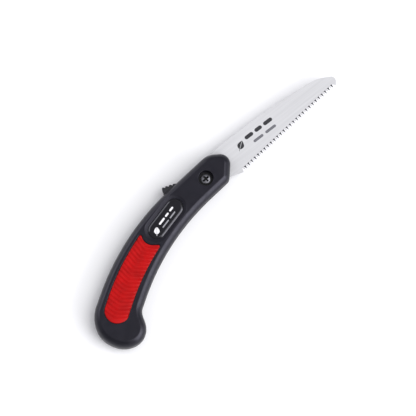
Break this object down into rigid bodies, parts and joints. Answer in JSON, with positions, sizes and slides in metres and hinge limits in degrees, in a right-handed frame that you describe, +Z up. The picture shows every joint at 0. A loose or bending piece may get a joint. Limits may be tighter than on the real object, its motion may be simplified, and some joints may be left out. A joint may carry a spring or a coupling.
{
  "type": "folding pruning saw",
  "caption": "Folding pruning saw with a straight tapered blade on a pivot screw, a curved two-shell handle with ribbed rubber inlays and a sprung lever lock on its back.",
  "frame": {"origin": "centre of the bounding box of the open saw, at the height of the surface it lies on", "axes": "+X along the open blade towards its tip, +Y towards the blade's spine and the back of the handle, +Z up through the thickness, out of the front face"},
  "size_m": [0.3477, 0.1112, 0.022],
  "materials": {
    "shell_plastic": "satin",
    "grip_rubber": "satin",
    "badge_gloss": "gloss",
    "white_print": "matte",
    "dark_print": "matte",
    "blade_steel": "brushed",
    "black_steel": "satin",
    "zinc_steel": "satin",
    "lever_plastic": "satin",
    "nylon": "satin",
    "brass": "satin"
  },
  "bodies": {
    "handle": {"front_shell": "shell_plastic", "rear_shell": "shell_plastic", "front_grip": "grip_rubber", "rear_grip": "grip_rubber", "front_badge": "badge_gloss", "rear_badge": "badge_gloss", "front_badge_mark": "white_print", "rear_badge_mark": "white_print", "pivot_screw": "black_steel", "pivot_head_washer": "black_steel", "pivot_sleeve": "zinc_steel", "pivot_nut": "zinc_steel", "pivot_nut_washer": "zinc_steel", "front_thrust_washer": "nylon", "rear_thrust_washer": "nylon", "stop_pin": "zinc_steel", "lock_pin": "zinc_steel", "lock_spring": "zinc_steel", "shell_screws": "black_steel", "screw_inserts": "brass"},
    "blade": {"blade": "blade_steel", "blade_mark": "dark_print"},
    "lever": {"lock_lever": "lever_plastic"}
  },
  "joints": [
    {"name": "blade_fold", "type": "hinge", "parent": "handle", "child": "blade", "pos_m": [0.0075, 0.0352, 0.011], "axis": [0, 0, -1], "range_deg": [0, 165]},
    {"name": "lock_lever", "type": "hinge", "parent": "handle", "child": "lever", "pos_m": [-0.0145, 0.047, 0.011], "axis": [0, 0, 1], "range_deg": [0, 7], "stiffness_Nm_per_rad": 0.4, "springref_deg": -2.86, "deforming": ["lock_spring"]}
  ]
}
